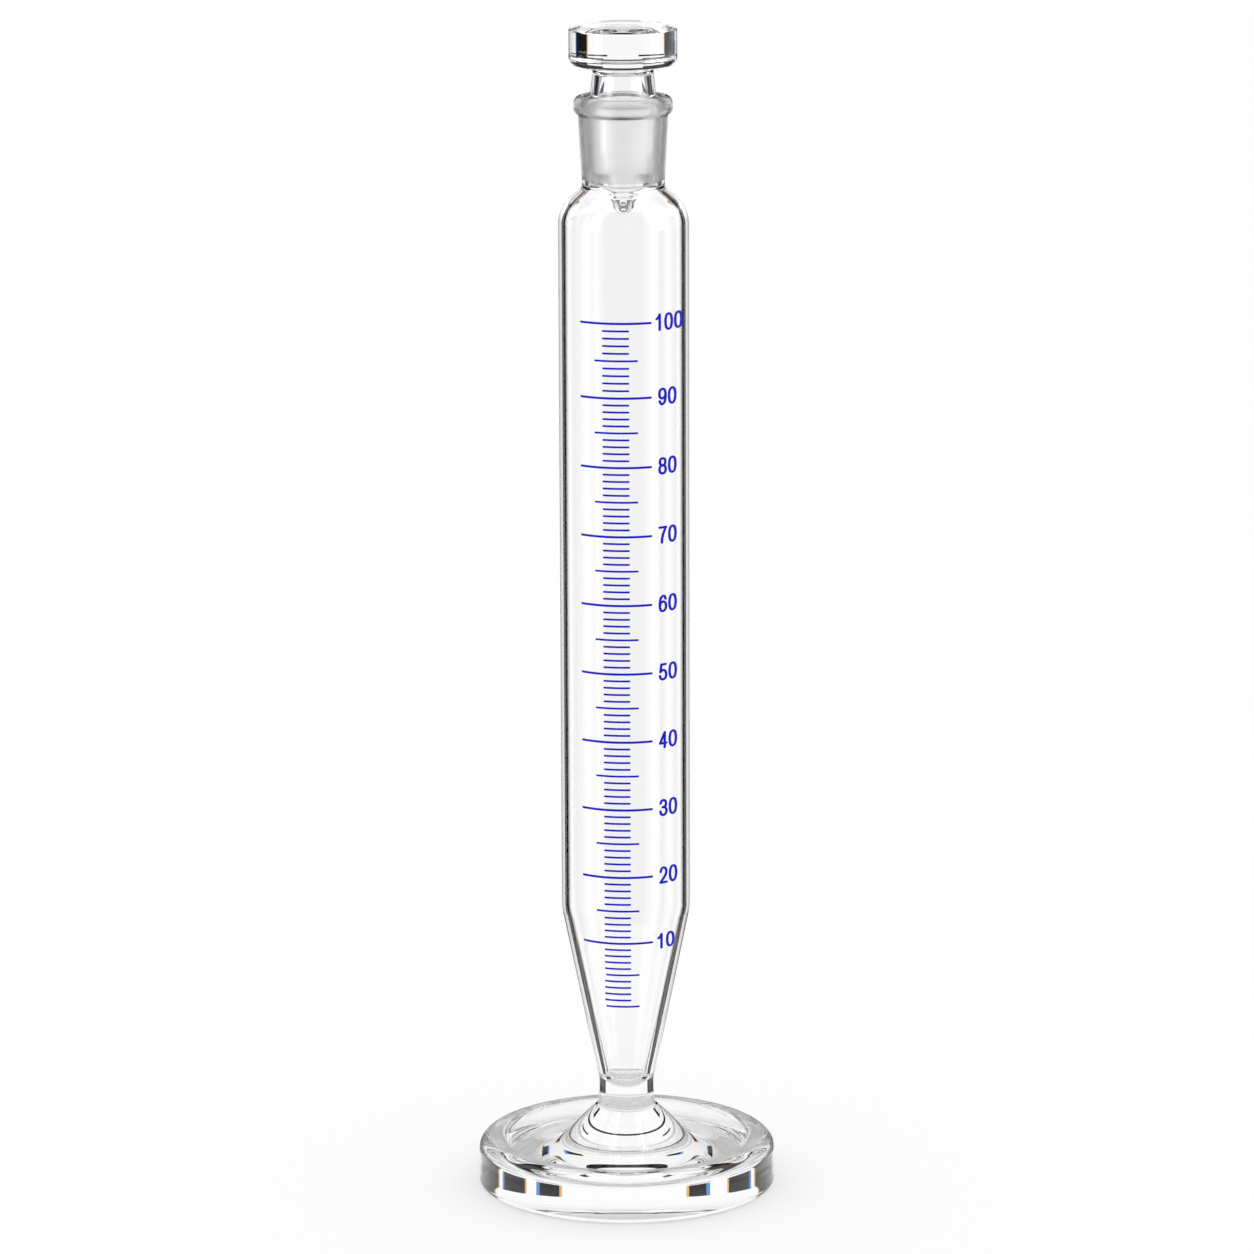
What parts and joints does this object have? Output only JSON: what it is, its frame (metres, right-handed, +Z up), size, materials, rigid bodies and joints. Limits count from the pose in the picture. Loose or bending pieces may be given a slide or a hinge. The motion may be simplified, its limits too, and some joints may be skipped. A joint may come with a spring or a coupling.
{
  "type": "distillation receiver",
  "caption": "Footed conical measuring receiver of clear glass, with a ground socket, a hollow ground stopper and a blue fired-on millilitre scale.",
  "frame": {"origin": "centre of the foot's underside, on the surface the receiver stands on", "axes": "+Z up along the tube's axis, -Y towards the side with the scale, +X to the right of someone who reads the scale"},
  "size_m": [0.0722, 0.0722, 0.2836],
  "materials": {
    "clear_glass": "clear fire-polished borosilicate glass, ground matt on the socket's taper and the stopper's plug",
    "blue_enamel": "fired-on blue enamel lines, opaque, slightly glossy"
  },
  "bodies": {
    "receiver": {"receiver": "clear_glass", "graduation_marks": "blue_enamel"},
    "stopper": {"stopper": "clear_glass"}
  },
  "joints": [
    {"name": "stopper_lift", "type": "slide", "parent": "receiver", "child": "stopper", "axis": [0, 0, 1], "range_m": [0, 0.03]}
  ]
}
